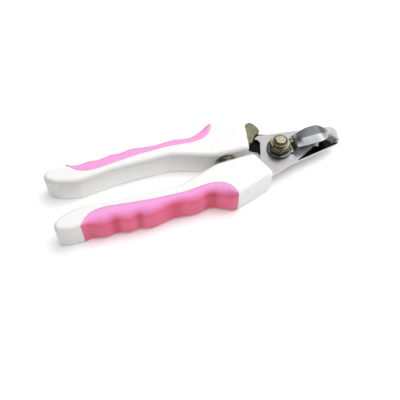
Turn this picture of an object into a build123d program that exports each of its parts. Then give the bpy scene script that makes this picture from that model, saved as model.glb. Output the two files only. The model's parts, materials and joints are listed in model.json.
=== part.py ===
"""Scissor nail clipper for pets, closed and locked, lying flat on its handles.

Frame: +X runs along the length towards the jaws, +Y towards the far handle and +Z up through
the thickness. The origin is at the middle of the footprint, on the surface that the handles
rest on. The two handles are mirror twins about the plane y = 0, and so are the two blades,
which lie one on the other. The upper blade belongs to the near handle, the lower to the far.
"""
import os

from build123d import *

# ---- driving dimensions, millimetres ----
PIVOT_X = 43.39           # pivot axis, forward of the middle of the length
HANDLE_T = 16.0           # thickness of both handles
EDGE_R = 2.5              # rounding of the handles' edges and front corners
GRIP_SKIN = 2.4           # thickness of the soft grip over the hard core

BLADE_T = 1.6             # thickness of each blade
BLADE_GAP = 0.05          # sliding gap between the two blades
BLADE_MID = 8.75          # height of the plane between the blades
TIP_X = 33.6              # jaw tip, forward of the pivot
UPPER_SHOULDER_Y = -6.4   # where the back of each blade runs into its tip
LOWER_SHOULDER_Y = -4.95
NOTCH_X = 24.8            # middle of the claw notch
NOTCH_Y = -4.0            # notch centre, from the centreline, on the upper blade
NOTCH_EDGE_R = 3.7        # cutting edge of the notch
NOTCH_TOP_R = 6.9         # outer end of the notch's ground bevel

BOLT_R = 3.0              # M6 pivot bolt
BORE_R = 3.05             # running bore of everything that turns on it
HEAD_AF = 10.0
HEAD_T = 4.0
WASHER_R = 6.0
WASHER_T = 0.8
NUT_AF = 10.0
NUT_T = 6.0
NUT_HEX_T = 4.6
NUT_COLLAR_R = 4.0
INSERT_R = 3.5
INSERT_T = 1.3
HEX_TURN = 13.0           # degrees, how the nut and the bolt head happen to stand
BOLT_END = 0.85           # bolt standing out of the nut

GUARD_T = 1.0             # sheet thickness of the nail guard
GUARD_GAP = 0.05
GUARD_RING_R = 6.6
GUARD_RISE = 3.3          # underside of the arm over the ring's underside
GUARD_RIDGE = 1.4         # crease of the arm over its edges
GUARD_NOSE_X = 27.4       # tip of the arm, forward of the pivot

LEVER_T = 1.9
LEVER_GAP = 0.12
LEVER_PIN = (-18.8, 11.6)  # pivot of the lock lever, from the pivot bolt
LEVER_PIN_R = 1.5
LEVER_SWING = 42.0        # degrees
SLOT_CLEAR = 0.35

SPRING_X = -29.0          # spring axis, from the pivot bolt
SPRING_R = 4.7            # middle radius of the coil
SPRING_WIRE_R = 0.6
SPRING_TURNS = 8
POCKET_R = 5.6
POCKET_Y = 9.4            # depth of each spring pocket, from the centreline

TANG_PIN_R = 1.6
TANG_PINS = [(-47.0, 14.2), (-68.0, 14.6)]

# Corners of the handle's plan outline, from the pivot axis, drawn for the far handle (y > 0),
# each with the radius that rounds it. The far handle stops short in front, clear of the lock.
NEAR_FRONT = [(-15.0, 1.6, 3.0), (-9.0, 16.7, 3.0)]
FAR_FRONT = [(-15.9, 1.6, 3.0), (-13.0, 17.6, 3.0)]
HANDLE_CORNERS = [
    (-32.3, 24.2, 5.5),     # crest ahead of the index finger
    (-43.3, 18.8, 7.0),     # index finger groove
    (-51.5, 20.9, 10.0),
    (-62.0, 19.5, 18.0),    # middle finger groove
    (-74.6, 21.9, 9.0),
    (-80.2, 20.3, 5.5),     # ring finger groove
    (-85.3, 21.15, 5.5),
    (-91.6, 19.35, 5.5),    # little finger groove
    (-97.2, 20.35, 5.5),
    (-104.5, 18.55, 8.0),
    (-112.5, 19.4, 12.0),
    (-125.0, 16.9, 3.6),    # back end
    (-116.0, 9.5, 14.0),
    (-105.0, 6.55, 15.0),
    (-86.0, 9.0, 40.0),
    (-56.5, 9.25, 20.0),
    (-35.5, 2.3, 20.0),
]
# Where the soft grip meets the hard handle on the flat faces, back to front.
GRIP_CORNERS = [
    (-109.3, 12.3, 12.5), (-94.5, 11.6, 10.0), (-72.0, 14.1, 60.0), (-56.0, 14.7, 40.0), (-43.0, 13.4, 20.0),
    (-30.6, 15.0, 10.0),
]
REACH = 30.0              # past the outer edge of either handle

BLADE_LOW_Z = BLADE_MID - BLADE_GAP / 2 - BLADE_T
BLADE_TOP_Z = BLADE_MID + BLADE_GAP / 2 + BLADE_T
GUARD_Z = BLADE_TOP_Z + GUARD_GAP
NUT_Z = GUARD_Z + GUARD_T
BOLT_TOP_Z = NUT_Z + NUT_T + BOLT_END
WASHER_Z = BLADE_LOW_Z - BLADE_GAP - WASHER_T
LEVER_Z = BLADE_MID + LEVER_GAP


def at_pivot(shape):
    """Move a shape drawn about the pivot axis to its place in the frame."""
    return Pos(PIVOT_X, 0, 0) * shape


def mirror_side(shape):
    return mirror(shape, about=Plane.XZ)


def cylinder(x, y, z0, z1, r):
    return Pos(x, y, z0) * Cylinder(r, z1 - z0, align=(Align.CENTER, Align.CENTER, Align.MIN))


def slab(face, z0, z1):
    """Extrude a face drawn on z = 0 between two heights."""
    return Pos(0, 0, z0) * extrude(face, z1 - z0)


def hexagon(af, z0, z1):
    return slab(Rot(0, 0, HEX_TURN) * RegularPolygon(af / 2, 6, major_radius=False), z0, z1)


# ---- handles ----
def rounded_outline(corners):
    """Closed outline through sharp corners, each rounded with its own radius."""
    path = FilletPolyline(*[(x, y) for x, y, _ in corners], radius=[r for _, _, r in corners], close=True)
    return make_face(path)


def handle_envelope(front):
    """Whole outside of a handle, hard body and soft grip together, in the far handle's place."""
    body = slab(rounded_outline(HANDLE_CORNERS + front), 0, HANDLE_T)
    return fillet(body.faces().filter_by(Axis.Z).edges(), EDGE_R)


def grip_zone():
    """Column over the part of the plan that the soft grip covers."""
    front, back = GRIP_CORNERS[-1][0], GRIP_CORNERS[0][0]
    outside = [(front, REACH, 1.0), (back, REACH, 1.0)]
    return slab(rounded_outline(GRIP_CORNERS + outside), -1, HANDLE_T + 1)


def handle_core():
    """Hard core that the grip is moulded round."""
    core = slab(rounded_outline(HANDLE_CORNERS + FAR_FRONT), GRIP_SKIN, HANDLE_T - GRIP_SKIN)
    return Pos(0, -GRIP_SKIN, 0) * core


def spring_pocket():
    """Round pocket in a handle's inner wall, along Y."""
    pocket = Cylinder(POCKET_R, POCKET_Y, align=(Align.CENTER, Align.CENTER, Align.MIN))
    return Pos(SPRING_X, 0, HANDLE_T / 2) * Rot(-90, 0, 0) * pocket


# ---- blades ----
def blade_face(shoulder_y):
    """Plan outline of a blade in the lower one's place, its tang running back into the far handle."""
    tang = Polyline(
        (-10.9, 14.9), (-22.0, 16.3), (-34.0, 16.4), (-80.0, 16.4), (-80.0, 12.2), (-37.0, 11.4),
        (-22.0, 10.2), (-13.5, 3.3), (-11.1, 2.1), (-8.0, -7.0), (-8.9, -9.0), (-9.9, -9.5),
        (-10.0, -10.1), (-8.9, -10.9), (-7.6, -11.5),
    )
    back = Line((-7.6, -11.5), (29.6, shoulder_y))
    curve = [(29.6, shoulder_y), (32.7, shoulder_y + 1.5), (TIP_X, shoulder_y + 5.0), (32.9, 2.6), (31.4, 4.0)]
    tip = Spline(curve, tangents=[(1.0, 0.15), (-1.0, 0.1)])
    inner = Line((31.4, 4.0), (18.4, 3.4))
    flank = Polyline((18.4, 3.4), (11.0, 7.2), (4.6, 9.9), (-10.9, 14.9))
    return make_face([tang, back, tip, inner, flank])


def lower_blade():
    z0, z1 = BLADE_LOW_Z, BLADE_MID - BLADE_GAP / 2
    blade = slab(blade_face(LOWER_SHOULDER_Y), z0, z1)
    bevel = Cone(NOTCH_TOP_R, NOTCH_EDGE_R, BLADE_T, align=(Align.CENTER, Align.CENTER, Align.MIN))
    blade -= Pos(NOTCH_X, -NOTCH_Y, z0) * bevel
    blade -= cylinder(0, 0, z0 - 1, z1 + 1, BORE_R)
    blade -= cylinder(*LEVER_PIN, z0 - 1, z1 + 1, LEVER_PIN_R)
    for x, y in TANG_PINS:
        blade -= cylinder(x, y, z0 - 1, z1 + 1, TANG_PIN_R)
    return blade


def upper_blade():
    """Mirror of the lower blade in both Y and Z, so that the bevels face outwards."""
    z0, z1 = BLADE_MID + BLADE_GAP / 2, BLADE_TOP_Z
    blade = slab(mirror_side(blade_face(UPPER_SHOULDER_Y)), z0, z1)
    bevel = Cone(NOTCH_EDGE_R, NOTCH_TOP_R, BLADE_T, align=(Align.CENTER, Align.CENTER, Align.MIN))
    blade -= Pos(NOTCH_X, NOTCH_Y, z0) * bevel
    blade -= cylinder(0, 0, z0 - 1, z1 + 1, BORE_R)
    for x, y in TANG_PINS:
        blade -= cylinder(x, -y, z0 - 1, z1 + 1, TANG_PIN_R)
    return blade


def tang_pins():
    """Pins through the far tang and the core round it."""
    pins = Part()
    for x, y in TANG_PINS:
        pins += cylinder(x, y, 3.2, HANDLE_T - 3.2, TANG_PIN_R)
    return pins


# ---- pivot ----
def pivot_bolt():
    head_z = WASHER_Z - HEAD_T
    head = hexagon(HEAD_AF, head_z, WASHER_Z)
    head = chamfer(head.faces().sort_by(Axis.Z)[0].edges(), 0.5)
    shank = cylinder(0, 0, WASHER_Z, BOLT_TOP_Z, BOLT_R)
    shank = chamfer(shank.faces().sort_by(Axis.Z)[-1].edges(), 0.5)
    return head + shank


def ring(r_out, r_in, z0, z1):
    return cylinder(0, 0, z0, z1, r_out) - cylinder(0, 0, z0 - 1, z1 + 1, r_in)


def lock_nut():
    """Hexagon nut with a round collar that is rolled over a nylon ring."""
    top = NUT_Z + NUT_T
    body = hexagon(NUT_AF, NUT_Z, NUT_Z + NUT_HEX_T)
    round_off = Cone(NUT_AF / 2 + 2.3, NUT_AF / 2 - 0.2, 2.5, align=(Align.CENTER, Align.CENTER, Align.MAX))
    body &= cylinder(0, 0, NUT_Z, NUT_Z + NUT_HEX_T - 2.4, NUT_AF) + Pos(0, 0, NUT_Z + NUT_HEX_T) * round_off
    collar = cylinder(0, 0, NUT_Z + NUT_HEX_T, top, NUT_COLLAR_R)
    collar = fillet(collar.faces().sort_by(Axis.Z)[-1].edges(), 0.4)
    nut = body + collar - cylinder(0, 0, NUT_Z - 1, top + 1, BOLT_R)
    return nut - cylinder(0, 0, top - INSERT_T - 0.1, top + 1, INSERT_R)


def nut_insert():
    top = NUT_Z + NUT_T
    return ring(INSERT_R, BOLT_R, top - INSERT_T - 0.1, top - 0.1)


# ---- nail guard ----
def guard_plan():
    """Spoon outline of the guard's arm and neck."""
    nose = (GUARD_NOSE_X, 0.4)
    far_side = Spline([(6.6, 3.2), (13.0, 5.1), (19.0, 6.3), (23.6, 6.0), (26.5, 3.6), nose],
                      tangents=[(1.0, 0.3), (0.0, -1.0)])
    near_side = Spline([nose, (26.0, -2.9), (22.5, -4.5), (16.0, -5.1), (6.6, -4.6)],
                       tangents=[(0.0, -1.0), (-1.0, 0.0)])
    neck = Polyline((6.6, -4.6), (3.0, -5.2), (3.0, 4.4), (6.6, 3.2))
    return make_face([far_side, near_side, neck])


def nail_guard():
    z0 = GUARD_Z
    base = cylinder(0, 0, z0, z0 + GUARD_T, GUARD_RING_R)
    profile = make_face(Polyline(
        (3.0, z0), (6.5, z0), (8.3, z0 + GUARD_RISE), (8.3, z0 + GUARD_RISE + GUARD_T),
        (7.5, z0 + GUARD_RISE + GUARD_T), (5.9, z0 + GUARD_T), (3.0, z0 + GUARD_T), close=True))
    riser = extrude(Plane.XZ * profile, 8, both=True)
    low, high, half = z0 + GUARD_RISE, z0 + GUARD_RISE + GUARD_RIDGE, 7.0
    roof = make_face(Polyline(
        (-half, low), (0, high), (half, low), (half, low + GUARD_T), (0, high + GUARD_T),
        (-half, low + GUARD_T), close=True))
    arm = Pos(7.6, 0, 0) * extrude(Plane.YZ * roof, GUARD_NOSE_X)
    swept = (riser + arm) & slab(guard_plan(), z0 - 1, BOLT_TOP_Z + 5)
    return base + swept - cylinder(0, 0, z0 - 1, z0 + GUARD_T + 1, BORE_R)


# ---- lock ----
def lever_face():
    """Plan outline of the lock lever in its locked place."""
    x, y = LEVER_PIN
    hub = Pos(x, y) * Circle(3.7)
    outline = Polyline(
        (x + 1.0, y - 3.5), (-13.7, 7.9), (-12.0, 8.0), (-10.5, 10.3), (-8.8, 12.4), (-7.0, 12.8),
        (-5.8, 14.2), (-6.0, 16.7), (-7.2, 19.5), (-9.1, 21.3), (-11.7, 20.8), (-13.2, 16.8),
        (x + 1.0, y + 3.5), close=True)
    plate = make_face(outline)
    outer = plate.vertices().filter_by(lambda v: v.X > -12.5 and v.Y > 13.5)
    return hub + fillet(outer, 0.9)


def lock_lever():
    return slab(lever_face(), LEVER_Z, LEVER_Z + LEVER_T) - cylinder(
        *LEVER_PIN, LEVER_Z - 1, LEVER_Z + LEVER_T + 1, LEVER_PIN_R + 0.05)


def lever_slot():
    """Room in the far handle for the lever's whole swing."""
    x, y = LEVER_PIN
    fat = offset(lever_face(), SLOT_CLEAR)
    steps = 14
    room = Sketch() + fat
    for i in range(1, steps + 1):
        room += Pos(x, y) * Rot(0, 0, LEVER_SWING * i / steps) * Pos(-x, -y) * fat
    return slab(room, BLADE_MID - BLADE_GAP / 2, LEVER_Z + LEVER_T + 0.7)


def lock_rivet():
    x, y = LEVER_PIN
    return cylinder(x, y, 0.6, 1.8, 2.8) + cylinder(x, y, 1.8, 13.0, LEVER_PIN_R)


def lock_washer():
    """Wave washer that holds the lever where the thumb leaves it."""
    x, y = LEVER_PIN
    z0 = LEVER_Z + LEVER_T + 0.05
    return cylinder(x, y, z0, z0 + 0.4, 3.0) - cylinder(x, y, z0 - 1, z0 + 1, LEVER_PIN_R + 0.05)


# ---- spring ----
def return_spring():
    """Compression coil between the two handles' pockets, its axis along Y."""
    reach = POCKET_Y - SPRING_WIRE_R - 0.05
    coil = Helix(2 * reach / SPRING_TURNS, 2 * reach, SPRING_R)
    wire = sweep(Plane(origin=coil @ 0, z_dir=coil % 0) * Circle(SPRING_WIRE_R), path=coil)
    return Pos(SPRING_X, -reach, HANDLE_T / 2) * Rot(-90, 0, 0) * wire


def build():
    far_envelope, near_envelope = handle_envelope(FAR_FRONT), handle_envelope(NEAR_FRONT)
    soft = grip_zone() - handle_core()
    far_grip, near_grip = far_envelope & soft, near_envelope & soft
    pins = tang_pins()
    lower, upper = lower_blade(), upper_blade()
    far_handle = far_envelope - far_grip - spring_pocket() - pins - lower - lever_slot()
    rivet = lock_rivet()
    x, y = LEVER_PIN
    far_handle -= cylinder(x, y, -1, 1.8, 2.8)
    far_handle -= cylinder(x, y, 1, 13.0, LEVER_PIN_R)
    near_handle = mirror_side(near_envelope - near_grip - spring_pocket() - pins) - upper
    return {
        "near_handle": near_handle,
        "near_grip": mirror_side(near_grip),
        "upper_blade": upper,
        "near_tang_pins": mirror_side(pins),
        "pivot_bolt": pivot_bolt(),
        "head_washer": ring(WASHER_R, BORE_R, WASHER_Z, WASHER_Z + WASHER_T),
        "lock_nut": lock_nut(),
        "nut_insert": nut_insert(),
        "far_handle": far_handle,
        "far_grip": far_grip,
        "lower_blade": lower,
        "far_tang_pins": pins,
        "lock_rivet": rivet,
        "lock_washer": lock_washer(),
        "lock_lever": lock_lever(),
        "nail_guard": nail_guard(),
        "return_spring": return_spring(),
    }


os.makedirs("parts", exist_ok=True)
for name, shape in build().items():
    export_step(at_pivot(shape), f"parts/{name}.step")
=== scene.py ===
"""Looks of the scissor nail clipper: materials, detailed metal parts, spring, camera and light.

Everything is in metres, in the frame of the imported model. The pieces that replace a CAD node
start from that node's own place: its box, or a copy of its mesh.
"""
import json
from math import cos, pi, radians, sin, tau

import bmesh
import bpy
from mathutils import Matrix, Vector
from mathutils.bvhtree import BVHTree

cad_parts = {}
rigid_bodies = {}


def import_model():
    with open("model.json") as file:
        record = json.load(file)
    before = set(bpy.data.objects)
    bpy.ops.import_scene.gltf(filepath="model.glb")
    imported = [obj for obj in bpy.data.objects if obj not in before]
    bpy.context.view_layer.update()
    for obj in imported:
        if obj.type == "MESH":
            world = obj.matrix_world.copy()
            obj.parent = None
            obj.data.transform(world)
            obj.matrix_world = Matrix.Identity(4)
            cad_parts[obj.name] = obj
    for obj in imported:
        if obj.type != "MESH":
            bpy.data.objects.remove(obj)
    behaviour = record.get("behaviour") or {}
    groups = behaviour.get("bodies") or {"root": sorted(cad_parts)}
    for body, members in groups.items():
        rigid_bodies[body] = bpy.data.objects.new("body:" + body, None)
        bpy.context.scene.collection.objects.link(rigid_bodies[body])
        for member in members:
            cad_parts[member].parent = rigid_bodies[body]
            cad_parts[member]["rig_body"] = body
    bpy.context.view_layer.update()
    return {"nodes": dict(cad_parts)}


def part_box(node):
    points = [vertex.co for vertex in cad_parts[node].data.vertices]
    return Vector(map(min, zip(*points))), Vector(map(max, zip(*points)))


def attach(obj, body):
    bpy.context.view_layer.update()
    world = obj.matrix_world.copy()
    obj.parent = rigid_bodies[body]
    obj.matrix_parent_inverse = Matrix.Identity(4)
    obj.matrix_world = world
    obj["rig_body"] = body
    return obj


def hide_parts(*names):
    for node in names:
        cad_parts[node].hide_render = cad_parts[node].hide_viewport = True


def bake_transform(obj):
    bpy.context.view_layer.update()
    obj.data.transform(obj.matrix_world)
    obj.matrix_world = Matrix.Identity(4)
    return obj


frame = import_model()
NODES = frame["nodes"]
MM = 0.001

# Soft grips
GRIP_STEPS = 220                # stations along each grip
SKIN_DEPTH = 1.0 * MM           # where a grip's inner edge is read, below its upper face
END_MARGIN = 0.02 * MM
BEYOND_HANDLES = 60 * MM
THIN_END = 0.4 * MM             # thickness where a grip's edge runs out on the wall
EVENING_REACH = 14              # stations that the wall is averaged over, to tell its hollows
BACK_FADE, FRONT_FADE = 9 * MM, 5 * MM
END_ROLL, END_PULL = 0.35 * MM, 0.22 * MM
EDGE_ROLL = 2.5 * MM            # rounding of the long edges at a grip's ends
CROWN_WIDE, CROWN_TALL = 3.6 * MM, 3.0 * MM     # what the upper rounding gains between the ends
FOOT_WIDE, FOOT_TALL = 0.6 * MM, 0.8 * MM       # what the lower rounding gains
CROWN_FOLLOWS = 0.9             # how much of a hollow's depth the upper rounding takes up
CROWN_SHARE, FOOT_SHARE = 0.85, 0.7             # most of the width that a rounding may take
# painted shade in the finger hollows: the hollow depth where it is full, and its amount on an even
# wall
GROOVE_SHADE_DEPTH, GROOVE_SHADE_BASE = 0.8 * MM, 0.25

# Return spring
WIRE_R = 0.6 * MM
DEAD_TURNS, LIVE_TURNS = 1.0, 9.5
STEPS_PER_TURN = 40

# Nail guard, from the pivot axis and from the ring's underside
RING_R, RING_BORE_R, RING_T = 6.6 * MM, 3.05 * MM, 1.0 * MM
DECK_RISE = 4.3 * MM            # top of the arm along its edges
ARM_ROOT = 4.8 * MM
STEP_START, STEP_RUN = 5.8 * MM, 2.5 * MM
RIDGE, RIDGE_START, RIDGE_RUN = 1.4 * MM, 7.2 * MM, 5.0 * MM
RIDGE_LEAN = -1.1 * MM
NOSE_DROP = 0.9 * MM
ARM_SHIFT = 0.4 * MM
ARM_ROWS, ARM_COLUMNS = 64, 24

BLADE_TONE, BLADE_ROUGHNESS = (0.62, 0.6, 0.61), 0.32

# Studio
LAMPS = (                       # name, place, size and watts
    ("right_key", (0.78, 0.1, 0.85), (0.9, 0.9), 4.1),
    ("overhead", (0.1, 0.0, 1.1), (1.1, 1.0), 8.0),
    ("front_fill", (0.55, -0.9, 0.5), (0.9, 0.5), 0.7),
)
FLOOR_HALF = 3.0
BRIGHT_WAY = Vector((0.55, 0.25, 0.8)).normalized()
STUDIO_TONES = (                # cosine of the angle from the bright way, and grey
    (0.0, 0.02), (0.5, 0.02), (0.65, 0.08), (0.75, 0.17), (0.85, 0.42), (0.93, 0.53), (0.97, 0.9),
)
STUDIO_STRENGTH = 2.0
CAMERA_TURN, CAMERA_TILT = 17.2, 57.26          # degrees from +Y, and below the horizon
CAMERA_AIM = Vector((-5.1, -16.7, 8.0)) * MM
CAMERA_DISTANCE = 299.2 * MM
CAMERA_LENS = 53.95


# ---- meshes ----
def mesh_object(name, points, faces, smooth=True):
    mesh = bpy.data.meshes.new(name)
    mesh.from_pydata([tuple(p) for p in points], [], faces)
    mesh.validate()
    mesh.update()
    for polygon in mesh.polygons:
        polygon.use_smooth = smooth
    piece = bpy.data.objects.new(name, mesh)
    bpy.context.scene.collection.objects.link(piece)
    return piece


def add_bevel(piece, width, segments=3):
    """Round every edge sharper than about 30 degrees, as tumbling and plating leave it."""
    bevel = piece.modifiers.new("rounded_edges", "BEVEL")
    bevel.width = width
    bevel.segments = segments
    bevel.limit_method = "ANGLE"
    bevel.angle_limit = radians(32)
    bevel.harden_normals = True
    return bevel


def rounded_copy(node, width):
    """A copy of a CAD node's mesh, its seams welded and its edges rounded, standing for the node."""
    welded = bmesh.new()
    welded.from_mesh(NODES[node].data)
    bmesh.ops.remove_doubles(welded, verts=welded.verts, dist=0.001 * MM)
    bmesh.ops.dissolve_limit(welded, angle_limit=radians(0.5), verts=welded.verts, edges=welded.edges)
    mesh = bpy.data.meshes.new(node + "_finished")
    welded.to_mesh(mesh)
    welded.free()
    for polygon in mesh.polygons:
        polygon.use_smooth = True
    mesh.set_sharp_from_angle(angle=radians(28))
    piece = bpy.data.objects.new(mesh.name, mesh)
    bpy.context.scene.collection.objects.link(piece)
    add_bevel(piece, width)
    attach(piece, NODES[node]["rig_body"])
    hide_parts(node)
    return piece


# ---- materials ----
class Finish:
    """One procedural material: a shader with texture nodes placed in the object's own metres."""

    def __init__(self, name, roughness, metallic=0.0):
        self.material = bpy.data.materials.new(name)
        self.material.use_nodes = True
        self.tree = self.material.node_tree
        self.shader = self.tree.nodes["Principled BSDF"]
        self.shader.inputs["Roughness"].default_value = roughness
        self.shader.inputs["Metallic"].default_value = metallic
        coordinates = self.tree.nodes.new("ShaderNodeTexCoord")
        self.place, self.facing = coordinates.outputs["Object"], coordinates.outputs["Normal"]

    def link(self, source, target):
        self.tree.links.new(source, target)

    def node(self, kind):
        return self.tree.nodes.new(kind)

    def noise(self, scale, detail=4.0, stretch=None, turn=0.0):
        """Noise with `scale` cells in a metre, drawn out by `stretch` along axes turned about Z."""
        noise = self.node("ShaderNodeTexNoise")
        noise.inputs["Scale"].default_value = scale
        noise.inputs["Detail"].default_value = detail
        if stretch:
            mapping = self.node("ShaderNodeMapping")
            mapping.inputs["Rotation"].default_value = (0.0, 0.0, turn)
            mapping.inputs["Scale"].default_value = stretch
            self.link(self.place, mapping.inputs["Vector"])
            self.link(mapping.outputs["Vector"], noise.inputs["Vector"])
        else:
            self.link(self.place, noise.inputs["Vector"])
        return noise.outputs["Fac"]

    def ramp(self, value, stops):
        """Colours or greys along a value; stops are (position, colour or grey)."""
        ramp = self.node("ShaderNodeValToRGB")
        self.link(value, ramp.inputs["Fac"])
        elements = ramp.color_ramp.elements
        while len(elements) < len(stops):
            elements.new(0.5)
        for element, (position, tone) in zip(elements, stops):
            element.position = position
            colour = tone if isinstance(tone, tuple) else (tone, tone, tone)
            element.color = (*colour, 1.0)
        return ramp.outputs["Color"]

    def remap(self, value, low, high, to_low, to_high):
        remap = self.node("ShaderNodeMapRange")
        limits = {"From Min": low, "From Max": high, "To Min": to_low, "To Max": to_high}
        for name, number in limits.items():
            remap.inputs[name].default_value = number
        self.link(value, remap.inputs["Value"])
        return remap.outputs["Result"]

    def mix(self, factor, first, second):
        mix = self.node("ShaderNodeMix")
        mix.data_type = "RGBA"
        self.link(factor, mix.inputs["Factor"])
        for socket, source in ((mix.inputs["A"], first), (mix.inputs["B"], second)):
            if isinstance(source, tuple):
                socket.default_value = (*source, 1.0)
            else:
                self.link(source, socket)
        return mix.outputs["Result"]

    def axis(self, name):
        split = self.node("ShaderNodeSeparateXYZ")
        self.link(self.place, split.inputs["Vector"])
        return split.outputs[name]

    def bump(self, height, distance, strength):
        bump = self.node("ShaderNodeBump")
        bump.inputs["Strength"].default_value = strength
        bump.inputs["Distance"].default_value = distance
        self.link(height, bump.inputs["Height"])
        return bump.outputs["Normal"]

    def set(self, name, value):
        if isinstance(value, (int, float, tuple)):
            self.shader.inputs[name].default_value = value
        else:
            self.link(value, self.shader.inputs[name])
        return self


def white_plastic():
    finish = Finish("white_plastic", 0.3)
    cloud = finish.noise(22.0, 3.0)
    finish.set("Base Color", finish.ramp(cloud, [(0.3, (0.86, 0.85, 0.84)), (0.7, (0.9, 0.89, 0.89))]))
    finish.set("Roughness", finish.remap(finish.noise(160.0), 0.3, 0.7, 0.26, 0.36))
    finish.set("Normal", finish.bump(finish.noise(500.0, 2.0), 0.004 * MM, 0.4))
    finish.set("Subsurface Weight", 0.12)
    finish.set("Subsurface Radius", (1.0, 0.8, 0.7))
    finish.set("Subsurface Scale", 1.5 * MM)
    return finish.material


def pink_rubber():
    """Soft pink rubber with painted light: paler on its upward faces as a painted lit top, deeper on
    the wall as painted shade, and darker again in the finger hollows as painted groove shade.
    """
    finish = Finish("pink_rubber", 0.42)
    cloud = finish.noise(60.0, 4.0)
    # painted light: a pale pink for faces turned up and a deep pink for the wall, lit and shaded
    # copies of one rubber
    painted_lit_top = finish.ramp(cloud, [(0.3, (0.9, 0.36, 0.7)), (0.7, (0.94, 0.4, 0.75))])
    painted_shaded_wall = finish.ramp(cloud, [(0.3, (0.9, 0.13, 0.27)), (0.7, (0.93, 0.16, 0.31))])
    # painted shade: the wall colour darkens towards a deep red in the finger hollows, following the
    # mesh's mask
    painted_groove_shade = finish.node("ShaderNodeAttribute")
    painted_groove_shade.attribute_name = "painted_groove_shade"
    groove_shade_amount = finish.remap(painted_groove_shade.outputs["Fac"], 0.15, 1.0, 0.0, 0.85)
    wall = finish.mix(groove_shade_amount, painted_shaded_wall, (0.68, 0.05, 0.12))
    split = finish.node("ShaderNodeSeparateXYZ")
    finish.link(finish.facing, split.inputs["Vector"])
    # painted light: the colour goes from the shaded wall pink to the lit top pink as a face turns
    # upwards
    painted_light_by_facing = finish.remap(split.outputs["Z"], 0.45, 0.98, 0.0, 1.0)
    finish.set("Base Color", finish.mix(painted_light_by_facing, wall, painted_lit_top))
    finish.set("Roughness", finish.remap(finish.noise(220.0), 0.3, 0.7, 0.36, 0.5))
    finish.set("Normal", finish.bump(finish.noise(2600.0, 2.0), 0.03 * MM, 0.5))
    finish.set("Subsurface Weight", 0.45)
    finish.set("Subsurface Radius", (1.0, 0.2, 0.25))
    finish.set("Subsurface Scale", 3.0 * MM)
    return finish.material


def satin_steel(name, tone, roughness, turn=0.0, grain=0.004):
    """Rolled and brushed sheet steel, its grain along a direction turned from X."""
    finish = Finish(name, roughness, 1.0)
    grain_lines = finish.noise(1.0, 6.0, (140.0, 5200.0, 400.0), turn)
    smudge = finish.noise(90.0, 3.0)
    dark = tuple(0.88 * c for c in tone)
    finish.set("Base Color", finish.mix(finish.remap(smudge, 0.35, 0.65, 0.0, 1.0), dark, tone))
    finish.set("Roughness", finish.remap(grain_lines, 0.25, 0.75, roughness - 0.07, roughness + 0.09))
    finish.set("Normal", finish.bump(grain_lines, grain * MM, 0.7))
    return finish


def polished_steel(name, tone, roughness):
    finish = Finish(name, roughness, 1.0)
    finish.set("Base Color", finish.mix(finish.remap(finish.noise(70.0), 0.3, 0.7, 0.0, 1.0),
                                        tuple(0.93 * c for c in tone), tone))
    haze = finish.remap(finish.noise(500.0, 5.0), 0.3, 0.7, roughness * 0.7, roughness * 1.5)
    finish.set("Roughness", haze)
    finish.set("Normal", finish.bump(finish.noise(260.0, 3.0), 0.006 * MM, 0.5))
    return finish.material


def plated_steel():
    """Zinc plate with a yellow passivate that varies from olive to straw."""
    finish = Finish("plated_steel", 0.28, 1.0)
    tint = finish.noise(420.0, 4.0)
    finish.set("Base Color", finish.ramp(tint, [(0.3, (0.38, 0.37, 0.22)), (0.5, (0.5, 0.48, 0.32)),
                                                (0.72, (0.58, 0.55, 0.42))]))
    finish.set("Roughness", finish.remap(finish.noise(800.0), 0.3, 0.7, 0.13, 0.26))
    finish.set("Normal", finish.bump(finish.noise(1500.0, 3.0), 0.01 * MM, 0.5))
    return finish.material


def pressed_lever_steel():
    finish = Finish("lever_steel", 0.5, 0.75)
    patch = finish.noise(300.0, 5.0)
    finish.set("Base Color", finish.ramp(patch, [(0.3, (0.22, 0.22, 0.14)), (0.55, (0.29, 0.29, 0.19)),
                                                 (0.75, (0.33, 0.33, 0.25))]))
    finish.set("Roughness", finish.remap(finish.noise(1200.0), 0.3, 0.7, 0.4, 0.6))
    finish.set("Normal", finish.bump(finish.noise(2200.0, 4.0), 0.012 * MM, 0.7))
    return finish.material


def black_nylon():
    finish = Finish("black_nylon", 0.7)
    shades = [(0.3, (0.006, 0.006, 0.007)), (0.7, (0.02, 0.02, 0.02))]
    finish.set("Base Color", finish.ramp(finish.noise(900.0), shades))
    finish.set("Normal", finish.bump(finish.noise(3000.0), 0.01 * MM, 0.5))
    finish.set("Specular IOR Level", 0.2)
    return finish.material


def spring_wire():
    finish = Finish("spring_wire", 0.3, 1.0)
    shades = [(0.3, (0.3, 0.29, 0.22)), (0.7, (0.5, 0.48, 0.4))]
    finish.set("Base Color", finish.ramp(finish.noise(700.0), shades))
    finish.set("Roughness", finish.remap(finish.noise(1500.0), 0.3, 0.7, 0.22, 0.4))
    finish.set("Normal", finish.bump(finish.noise(4000.0), 0.006 * MM, 0.5))
    return finish.material


def blade_with_painted_dark_face():
    """Satin blade whose upper face is painted near-black as painted shade."""
    finish = satin_steel("lower_blade_steel", BLADE_TONE, BLADE_ROUGHNESS, turn=-0.15)
    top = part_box("lower_blade")[1].z
    # painted shade: the blade's upper face, down to about a tenth of a millimetre, is mixed to
    # near-black
    face = finish.remap(finish.axis("Z"), top - 0.12 * MM, top - 0.04 * MM, 0.0, 1.0)
    satin = finish.shader.inputs["Base Color"].links[0].from_socket
    finish.set("Base Color", finish.mix(face, satin, (0.012, 0.013, 0.014)))
    finish.set("Specular IOR Level", 0.3)
    return finish.material


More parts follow.
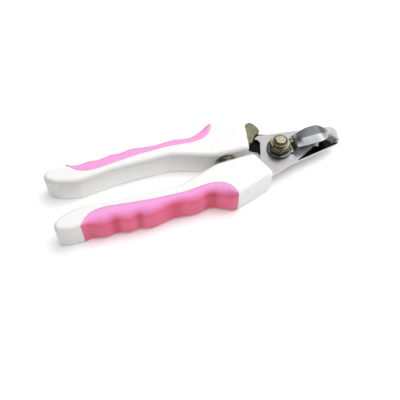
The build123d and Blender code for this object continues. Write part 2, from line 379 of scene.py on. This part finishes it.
# ---- pieces ----
def finish_cad_nodes():
    """Give every CAD node its material, and the metal ones worked edges."""
    white, pink = white_plastic(), pink_rubber()
    plated, pins = plated_steel(), polished_steel("pin_steel", (0.5, 0.5, 0.5), 0.25)
    upper = satin_steel("upper_blade_steel", BLADE_TONE, BLADE_ROUGHNESS, turn=0.38).material
    looks = {
        "near_handle": white, "far_handle": white, "near_grip": pink, "far_grip": pink,
        "near_tang_pins": pins, "far_tang_pins": pins, "nut_insert": black_nylon(),
        "return_spring": pins, "nail_guard": pins,
    }
    edged = {
        "upper_blade": (upper, 0.12),
        "lower_blade": (blade_with_painted_dark_face(), 0.12),
        "lock_lever": (pressed_lever_steel(), 0.3),
        "pivot_bolt": (plated, 0.15),
        "lock_nut": (plated, 0.15),
        "head_washer": (plated, 0.1),
        "lock_rivet": (pins, 0.15),
        "lock_washer": (pins, 0.05),
    }
    for node, material in looks.items():
        dress(NODES[node], material)
    grip("near_grip", "near_side", pink)
    grip("far_grip", "far_side", pink)
    for node, (material, width) in edged.items():
        dress(NODES[node], material)
        dress(rounded_copy(node, width * MM), material)


def dress(piece, material):
    if not piece.data.materials:
        piece.data.materials.append(material)
    for index in range(len(piece.data.materials)):
        piece.data.materials[index] = material


def moving_average(values, reach):
    out = []
    for i in range(len(values)):
        near = values[max(i - reach, 0):i + reach + 1]
        out.append(sum(near) / len(near))
    return out


def plan_of_grip(node):
    """Stations along a CAD grip: x, and its inner and outer faces' distances from the centreline."""
    mesh = NODES[node].data
    tree = BVHTree.FromPolygons([v.co for v in mesh.vertices], [p.vertices for p in mesh.polygons])
    low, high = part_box(node)
    side = 1.0 if low.y > 0 else -1.0
    outwards, inwards = Vector((0, side, 0)), Vector((0, -side, 0))
    skin = high.z - SKIN_DEPTH
    span = high.x - low.x - 2 * END_MARGIN
    stations = []
    for i in range(GRIP_STEPS + 1):
        x = low.x + END_MARGIN + span * (1 - cos(pi * i / GRIP_STEPS)) / 2
        outer = tree.ray_cast(Vector((x, side * BEYOND_HANDLES, high.z / 2)), inwards)[0]
        inner = tree.ray_cast(Vector((x, 0, skin)), outwards)[0]
        wall = abs(outer.y)
        stations.append((x, abs(inner.y) if inner else wall - THIN_END, wall))
    return side, stations, high.z


def grip(node, body, rubber):
    """Soft grip: a rounded wall with finger hollows that fade out towards its flat faces, carrying a
    mask of painted shade for the hollows.
    """
    side, stations, top = plan_of_grip(node)
    evened = moving_average([outer for _, _, outer in stations], EVENING_REACH)
    first, last = stations[0][0], stations[-1][0]
    points, painted_groove_shades, faces = [], [], []
    for (x, inner, outer), even in zip(stations, evened):
        swell = smooth((x - first) / BACK_FADE) * smooth((last - x) / FRONT_FADE)
        end = 1 - min(smooth((x - first) / END_ROLL), smooth((last - x) / END_ROLL))
        width = outer - inner
        crown_wide = CROWN_WIDE + CROWN_FOLLOWS * (outer - even)
        wide = min(EDGE_ROLL + crown_wide * swell, CROWN_SHARE * width)
        tall = EDGE_ROLL + CROWN_TALL * swell
        foot_wide = min(EDGE_ROLL + FOOT_WIDE * swell, FOOT_SHARE * width)
        foot_tall = EDGE_ROLL + FOOT_TALL * swell
        pull = END_PULL * end
        outline = grip_section(inner, outer - pull, top, pull, wide, tall, foot_wide, foot_tall)
        for y, z in outline:
            points.append((x, side * y, z))
            # painted shade mask: the deeper the wall sits below its average, the more painted shade
            painted_groove_shades.append(min(max((even - outer) / GROOVE_SHADE_DEPTH + GROOVE_SHADE_BASE, 0.0), 1.0))
    ring = len(outline)
    for i in range(len(stations) - 1):
        for j in range(ring):
            a, b = i * ring + j, i * ring + (j + 1) % ring
            faces.append((a, b, b + ring, a + ring))
    faces.append(tuple(range(ring))[::-1])
    faces.append(tuple((len(stations) - 1) * ring + j for j in range(ring)))
    if side < 0:
        faces = [face[::-1] for face in faces]
    piece = mesh_object(node + "_soft", points, faces)
    # the painted shade mask is stored on the mesh for the rubber to read
    layer = piece.data.attributes.new("painted_groove_shade", "FLOAT", "POINT")
    layer.data.foreach_set("value", painted_groove_shades)
    piece.data.set_sharp_from_angle(angle=radians(55))
    dress(piece, rubber)
    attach(piece, body)
    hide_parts(node)


def grip_section(inner, outer, top, pull, wide, tall, foot_wide, foot_tall):
    """Half of the grip's cross-section, from its upper seam round the outer wall to its lower seam."""
    width = outer - inner
    seam, roll = min(0.03 * MM, 0.05 * width), min(0.4 * MM, 0.4 * width)
    crest, floor_z = top - pull, pull
    face = inner + seam
    outline = [(face, crest - 0.5 * MM), (face + 0.15 * roll, crest - 0.16 * MM),
               (face + 0.55 * roll, crest - 0.02 * MM)]
    start = face + roll
    least = start + 0.1 * (outer - start)
    rim = max(outer - wide, least)
    wide = outer - rim
    outline += [(start + (rim - start) * t, crest) for t in (0.0, 0.33, 0.67)]
    outline += [(rim + wide * sin(a), crest - tall * (1 - cos(a))) for a in quarter_turn(12)]
    wall_top, wall_foot = crest - tall, floor_z + foot_tall
    outline += [(outer, wall_top + (wall_foot - wall_top) * t) for t in (0.25, 0.5, 0.75)]
    foot = max(outer - foot_wide, least)
    foot_wide = outer - foot
    outline += [(foot + foot_wide * cos(a), wall_foot - foot_tall * sin(a)) for a in quarter_turn(8)]
    outline += [(start, floor_z), (face, floor_z + 0.2 * MM)]
    return outline


def quarter_turn(steps):
    return [pi / 2 * k / steps for k in range(steps + 1)]


def tube(name, path, radius, sides=12):
    """Round wire along a list of points, closed at both ends."""
    points, faces = [], []
    up = Vector((0.0, 0.0, 1.0))
    for i, p in enumerate(path):
        way = (path[min(i + 1, len(path) - 1)] - path[max(i - 1, 0)]).normalized()
        across = way.cross(up if abs(way.dot(up)) < 0.9 else Vector((1.0, 0.0, 0.0))).normalized()
        other = way.cross(across)
        up = across.cross(way)
        for k in range(sides):
            a = tau * k / sides
            points.append(p + radius * (cos(a) * across + sin(a) * other))
    for i in range(len(path) - 1):
        for k in range(sides):
            n = (k + 1) % sides
            faces.append((i * sides + k, i * sides + n, (i + 1) * sides + n, (i + 1) * sides + k))
    faces.append(tuple(range(sides))[::-1])
    faces.append(tuple((len(path) - 1) * sides + k for k in range(sides)))
    return mesh_object(name, points, faces)


def coil_spring():
    """Compression spring with a dead turn at each end, between the two handles."""
    low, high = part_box("return_spring")
    middle = (low + high) / 2
    radius = (high.x - low.x) / 2 - WIRE_R
    start, stop = low.y + WIRE_R * 1.1, high.y - WIRE_R * 1.1
    dead_length = 2.06 * WIRE_R
    turns = 2 * DEAD_TURNS + LIVE_TURNS
    path = []
    for i in range(int(turns * STEPS_PER_TURN) + 1):
        t = i / STEPS_PER_TURN
        if t < DEAD_TURNS:
            y = start + dead_length * t / DEAD_TURNS
        elif t > turns - DEAD_TURNS:
            y = stop - dead_length * (turns - t) / DEAD_TURNS
        else:
            y = start + dead_length + (stop - start - 2 * dead_length) * (t - DEAD_TURNS) / LIVE_TURNS
        path.append(Vector((middle.x + radius * cos(tau * t), y, middle.z + radius * sin(tau * t))))
    spring = tube("coil_spring", path, WIRE_R)
    dress(spring, spring_wire())
    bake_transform(spring)
    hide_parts("return_spring")


def guard_plate():
    """Pressed nail guard: a ring under the nut, a step up, and a creased spoon-shaped arm."""
    low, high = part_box("nail_guard")
    pivot_x = low.x + RING_R
    base, deck = low.z + RING_T, low.z + DECK_RISE
    length = high.x - pivot_x
    points, faces = [], []
    for i in range(ARM_ROWS + 1):
        x = ARM_ROOT + (length - ARM_ROOT) * (1 - (1 - i / ARM_ROWS) ** 1.35)
        along = x / length
        far, near = guard_edges(x / MM, length / MM)
        rise = smooth((x - STEP_START) / STEP_RUN)
        crease = RIDGE * smooth((x - RIDGE_START) / RIDGE_RUN)
        crease *= 1 - 0.75 * smooth((along - 0.72) / 0.28)
        lean = RIDGE_LEAN * rise * (1 - 0.6 * smooth((along - 0.75) / 0.25))
        nose = NOSE_DROP * smooth((along - 0.8) / 0.2)
        shift = ARM_SHIFT * smooth(along)
        for j in range(ARM_COLUMNS + 1):
            v = 2 * j / ARM_COLUMNS - 1
            y = (far if v > 0 else -near) * abs(v) * MM + lean * (1 - abs(v)) + shift
            crown = crease * (1 - abs(v) ** 1.04)
            points.append((pivot_x + x, y, base + (deck - base) * rise + crown - nose))
    for i in range(ARM_ROWS):
        for j in range(ARM_COLUMNS):
            a = i * (ARM_COLUMNS + 1) + j
            faces.append((a, a + ARM_COLUMNS + 1, a + ARM_COLUMNS + 2, a + 1))
    arm = mesh_object("guard_arm", points, faces)
    arm.data.set_sharp_from_angle(angle=radians(22))
    solid = arm.modifiers.new("sheet", "SOLIDIFY")
    solid.thickness = 0.95 * MM
    solid.offset = -1.0
    add_bevel(arm, 0.2 * MM)
    steel = polished_steel("guard_steel", (0.5, 0.51, 0.54), 0.14)
    # painted shade: the ring is a darker copy of the guard's steel, standing in for the shade around
    # the nut
    painted_shade_ring_steel = polished_steel("guard_ring_painted_shade_steel", (0.2, 0.21, 0.22), 0.22)
    ring = rounded_ring("guard_ring", Vector((pivot_x, 0.0, low.z)), RING_BORE_R, RING_R, RING_T)
    for piece, metal in ((arm, steel), (ring, painted_shade_ring_steel)):
        dress(piece, metal)
        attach(piece, "guard")
    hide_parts("nail_guard")


def smooth(t):
    t = min(max(t, 0.0), 1.0)
    return t * t * (3 - 2 * t)


def guard_edges(x, length):
    """Half widths of the arm, far side and near side, in millimetres at x from the pivot."""
    waist, near_waist = 3.2, 4.7
    far = waist + 2.7 * smooth((x - 6.5) / 12.0) if x > 6.5 else waist + 0.9 * (6.5 - x) / 1.7
    near = near_waist + 0.6 * smooth((x - 6.5) / 9.0)
    far *= round_end(x, length, 7.2)
    near *= round_end(x, length, 8.5)
    return max(far, 0.05), max(near, 0.05)


def round_end(x, length, reach):
    """What is left of a half width at x, when the last `reach` of the arm rounds off to its tip."""
    t = max((x - length + reach) / reach, 0.0)
    return max(1 - t ** 2.3, 0.0) ** 0.5


def rounded_ring(name, foot, inner, outer, height, sides=72):
    """Flat ring standing on `foot`, with rounded rims."""
    r = 0.12 * MM
    outline = [(inner, 0), (outer - r, 0), (outer - 0.3 * r, 0.3 * r), (outer, r), (outer, height - r),
               (outer - 0.3 * r, height - 0.3 * r), (outer - r, height), (inner, height)]
    points, faces = [], []
    for k in range(sides):
        a = tau * k / sides
        for radius, z in outline:
            points.append((foot.x + radius * cos(a), foot.y + radius * sin(a), foot.z + z))
    n = len(outline)
    for k in range(sides):
        for j in range(n):
            a, b = k * n + j, k * n + (j + 1) % n
            c, d = (k + 1) % sides * n + (j + 1) % n, (k + 1) % sides * n + j
            faces.append((a, d, c, b))
    ring = mesh_object(name, points, faces)
    ring.data.set_sharp_from_angle(angle=radians(50))
    return ring


# ---- stage, light and camera ----
def floor():
    corners = [(x * FLOOR_HALF, y * FLOOR_HALF, 0) for x, y in ((-1, -1), (1, -1), (1, 1), (-1, 1))]
    plane = mesh_object("floor", corners, [(0, 1, 2, 3)], smooth=False)
    material = bpy.data.materials.new("floor_paper")
    material.use_nodes = True
    shader = material.node_tree.nodes["Principled BSDF"]
    shader.inputs["Base Color"].default_value = (0.93, 0.93, 0.93, 1.0)
    shader.inputs["Roughness"].default_value = 0.9
    shader.inputs["Emission Color"].default_value = (1.0, 1.0, 1.0, 1.0)
    shader.inputs["Emission Strength"].default_value = 0.16
    plane.data.materials.append(material)


def softbox(name, place, size, power):
    """A soft rectangular lamp that looks at the middle of the part."""
    data = bpy.data.lights.new(name, "AREA")
    data.shape = "RECTANGLE"
    data.size, data.size_y = size
    data.energy = power
    lamp = bpy.data.objects.new(name, data)
    lamp.location = place
    lamp.rotation_euler = (-Vector(place)).to_track_quat("-Z", "Y").to_euler()
    lamp.visible_glossy = False               # the metal mirrors the studio's gradient instead
    bpy.context.scene.collection.objects.link(lamp)


def lights():
    """Soft lamps, and a studio that is bright behind the part and above its right, dark elsewhere."""
    for lamp in LAMPS:
        softbox(*lamp)
    world = bpy.data.worlds.new("studio")
    bpy.context.scene.world = world
    world.use_nodes = True
    tree = world.node_tree
    towards = tree.nodes.new("ShaderNodeVectorMath")
    towards.operation = "DOT_PRODUCT"
    towards.inputs[1].default_value = BRIGHT_WAY
    ramp = tree.nodes.new("ShaderNodeValToRGB")
    tree.links.new(tree.nodes.new("ShaderNodeTexCoord").outputs["Generated"], towards.inputs[0])
    tree.links.new(towards.outputs["Value"], ramp.inputs["Fac"])
    tree.links.new(ramp.outputs["Color"], tree.nodes["Background"].inputs["Color"])
    elements = ramp.color_ramp.elements
    while len(elements) < len(STUDIO_TONES):
        elements.new(0.5)
    for element, (position, tone) in zip(elements, STUDIO_TONES):
        element.position = position
        element.color = (tone, tone, tone, 1.0)
    tree.nodes["Background"].inputs["Strength"].default_value = STUDIO_STRENGTH


def camera():
    """Looking down on the clipper from its near side and a little from behind."""
    turn, tilt = radians(CAMERA_TURN), radians(CAMERA_TILT)
    forward = Vector((cos(tilt) * sin(turn), cos(tilt) * cos(turn), -sin(tilt)))
    data = bpy.data.cameras.new("camera")
    data.sensor_width = 36.0
    data.lens = CAMERA_LENS
    data.clip_start = 0.01
    view = bpy.data.objects.new("camera", data)
    view.location = CAMERA_AIM - CAMERA_DISTANCE * forward
    view.rotation_euler = forward.to_track_quat("-Z", "Y").to_euler()
    bpy.context.scene.collection.objects.link(view)
    bpy.context.scene.camera = view


bpy.context.scene.view_settings.view_transform = "Standard"
finish_cad_nodes()
coil_spring()
guard_plate()
floor()
lights()
camera()
